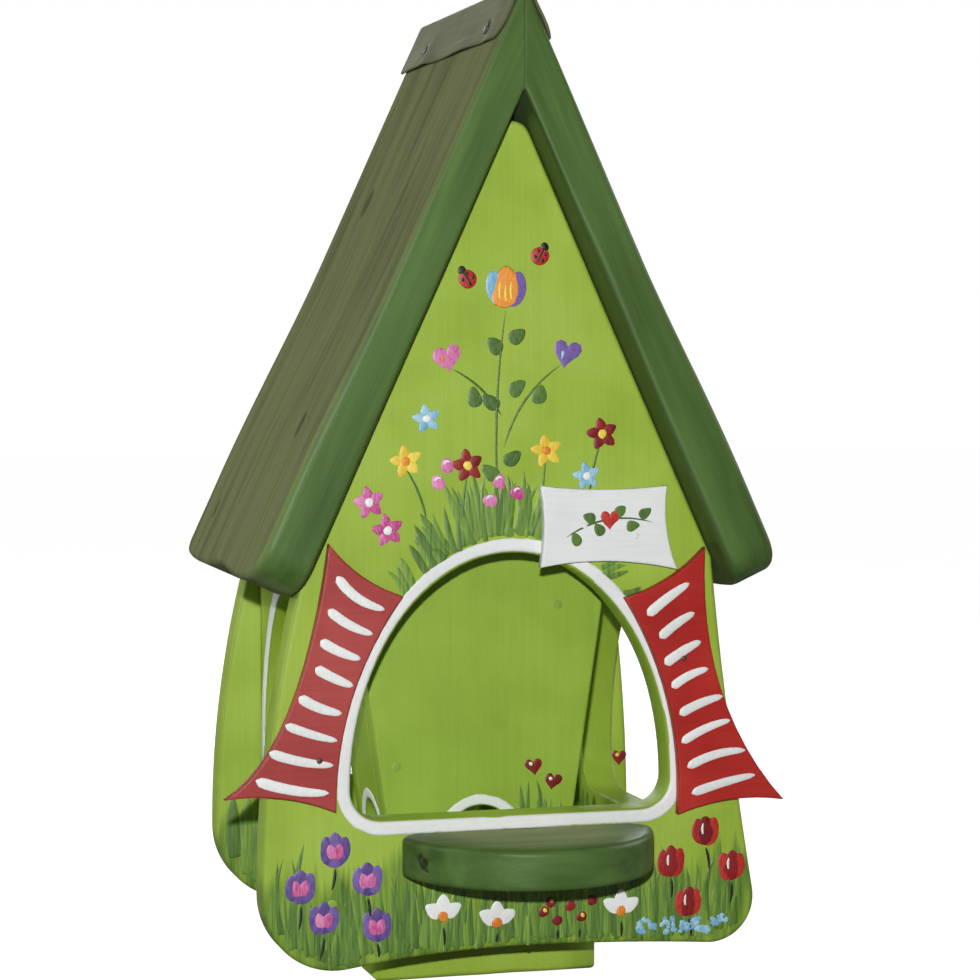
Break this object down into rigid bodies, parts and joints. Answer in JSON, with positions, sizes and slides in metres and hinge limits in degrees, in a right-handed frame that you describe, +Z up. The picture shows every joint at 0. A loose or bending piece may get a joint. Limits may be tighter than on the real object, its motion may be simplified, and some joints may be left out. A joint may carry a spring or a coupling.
{
  "type": "wooden bird feeder",
  "caption": "Painted wooden bird feeder shaped like a steep little house, with arched openings, an inner seed silo and a half-round landing board.",
  "frame": {"origin": "middle of the base block's underside, on the ground", "axes": "+Z up, the front with the landing board faces -Y, +X to the right seen from the front"},
  "size_m": [0.2489, 0.204, 0.431],
  "materials": {
    "panel_paint": "lime green brushed paint with a painted flower border",
    "wall_paint": "leaf green brushed paint",
    "silo_paint": "leaf green brushed paint, white outlet rims",
    "roof_stain": "weathered green stain over open grain",
    "cap_sheet": "folded sheet, painted and weathered",
    "nail_metal": "dull galvanised nail heads",
    "landing_stain": "dark green stain with a worn upper face",
    "shutter_paint": "brick red paint with white brush strokes",
    "white_paint": "white paint"
  },
  "bodies": {
    "root": {"front_panel": "panel_paint", "back_panel": "panel_paint", "left_wall": "wall_paint", "right_wall": "wall_paint", "floor_board": "wall_paint", "base_block": "panel_paint", "silo_front": "silo_paint", "silo_back": "silo_paint", "silo_left": "silo_paint", "silo_right": "silo_paint", "left_roof": "roof_stain", "right_roof": "roof_stain", "ridge_cap": "cap_sheet", "cap_nails": "nail_metal", "landing_board": "landing_stain", "left_shutter": "shutter_paint", "right_shutter": "shutter_paint", "shutter_nails": "nail_metal", "name_board": "white_paint", "name_board_nails": "nail_metal"}
  },
  "joints": []
}
